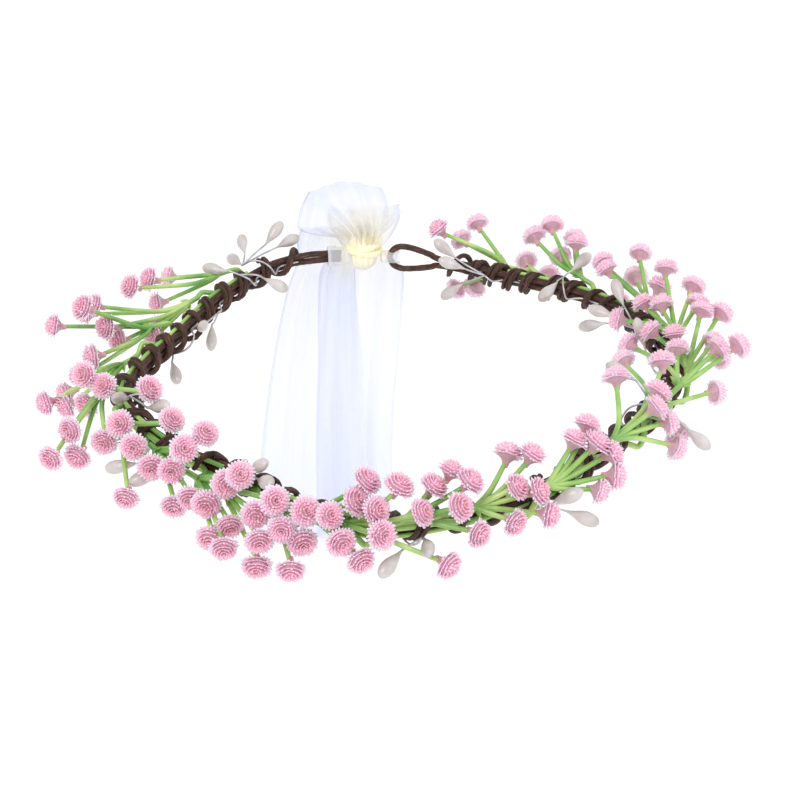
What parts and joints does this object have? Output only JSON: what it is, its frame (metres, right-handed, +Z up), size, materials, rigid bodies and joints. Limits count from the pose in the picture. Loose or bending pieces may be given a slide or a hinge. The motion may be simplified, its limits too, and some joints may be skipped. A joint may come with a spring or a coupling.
{
  "type": "flower crown",
  "caption": "Open wire crown wound with brown paper vine, set with pink baby's-breath sprays and pearl buds, tied at the back by an organza bow with two tails.",
  "frame": {"origin": "centre of the band, in its mean plane, where the middle of the wearer's head sits", "axes": "+Z up out of the crown, +Y towards the bow at the back of the head, +X to the right of someone who looks at the front of the crown"},
  "size_m": [0.2457, 0.239, 0.173],
  "materials": {
    "paper_wire": "dark brown crinkled paper over wire, dull",
    "flower_plastic": "soft translucent pink plastic, fringed, paler at the tips",
    "stem_plastic": "glossy yellow-green moulded plastic",
    "bud_plastic": "pearly grey-white lacquer",
    "bud_wire": "thin silver-grey covered wire",
    "organza": "sheer white organza with a cool sheen and a woven edge",
    "knot_organza": "cream organza gathered in many layers"
  },
  "bodies": {
    "root": {"ring_wire": "paper_wire", "vine_left": "paper_wire", "vine_front": "paper_wire", "vine_right": "paper_wire", "flower_spray_01": "flower_plastic", "flower_spray_02": "flower_plastic", "flower_spray_03": "flower_plastic", "flower_spray_04": "flower_plastic", "flower_spray_05": "flower_plastic", "flower_spray_06": "flower_plastic", "flower_spray_07": "flower_plastic", "flower_spray_08": "flower_plastic", "flower_spray_09": "flower_plastic", "flower_spray_10": "flower_plastic", "flower_spray_11": "flower_plastic", "flower_spray_12": "flower_plastic", "flower_spray_13": "flower_plastic", "flower_spray_14": "flower_plastic", "flower_spray_15": "flower_plastic", "flower_spray_16": "flower_plastic", "flower_spray_17": "flower_plastic", "flower_spray_18": "flower_plastic", "flower_spray_19": "flower_plastic", "flower_spray_20": "flower_plastic", "flower_spray_21": "flower_plastic", "flower_spray_22": "flower_plastic", "flower_spray_23": "flower_plastic", "flower_spray_24": "flower_plastic", "bud_cluster_01": "bud_plastic", "bud_cluster_02": "bud_plastic", "bud_cluster_03": "bud_plastic", "bud_cluster_04": "bud_plastic", "bud_cluster_05": "bud_plastic", "bud_cluster_06": "bud_plastic", "bud_cluster_07": "bud_plastic", "bud_cluster_08": "bud_plastic", "bud_cluster_09": "bud_plastic", "bud_cluster_10": "bud_plastic", "bud_cluster_11": "bud_plastic", "bud_cluster_12": "bud_plastic", "bud_cluster_13": "bud_plastic", "bud_cluster_14": "bud_plastic", "ribbon_knot": "knot_organza", "ribbon_strap_left": "organza", "ribbon_strap_right": "organza"},
    "bow_loop_front": {"bow_loop_front": "organza"},
    "bow_loop_back": {"bow_loop_back": "organza"},
    "ribbon_tails": {"ribbon_tail_left": "organza", "ribbon_tail_right": "organza"}
  },
  "joints": [
    {"name": "tails_swing", "type": "hinge", "parent": "root", "child": "ribbon_tails", "pos_m": [0, 0.1067, -0.004], "axis": [1, 0, 0], "range_deg": [-20, 70]},
    {"name": "bow_loop_front_flex", "type": "hinge", "parent": "root", "child": "bow_loop_front", "pos_m": [0, 0.098, 0.008], "axis": [1, 0, 0], "range_deg": [0, 28], "stiffness_Nm_per_rad": 0.01},
    {"name": "bow_loop_back_flex", "type": "hinge", "parent": "root", "child": "bow_loop_back", "pos_m": [0, 0.103, 0.004], "axis": [1, 0, 0], "range_deg": [-25, 0], "stiffness_Nm_per_rad": 0.01}
  ]
}
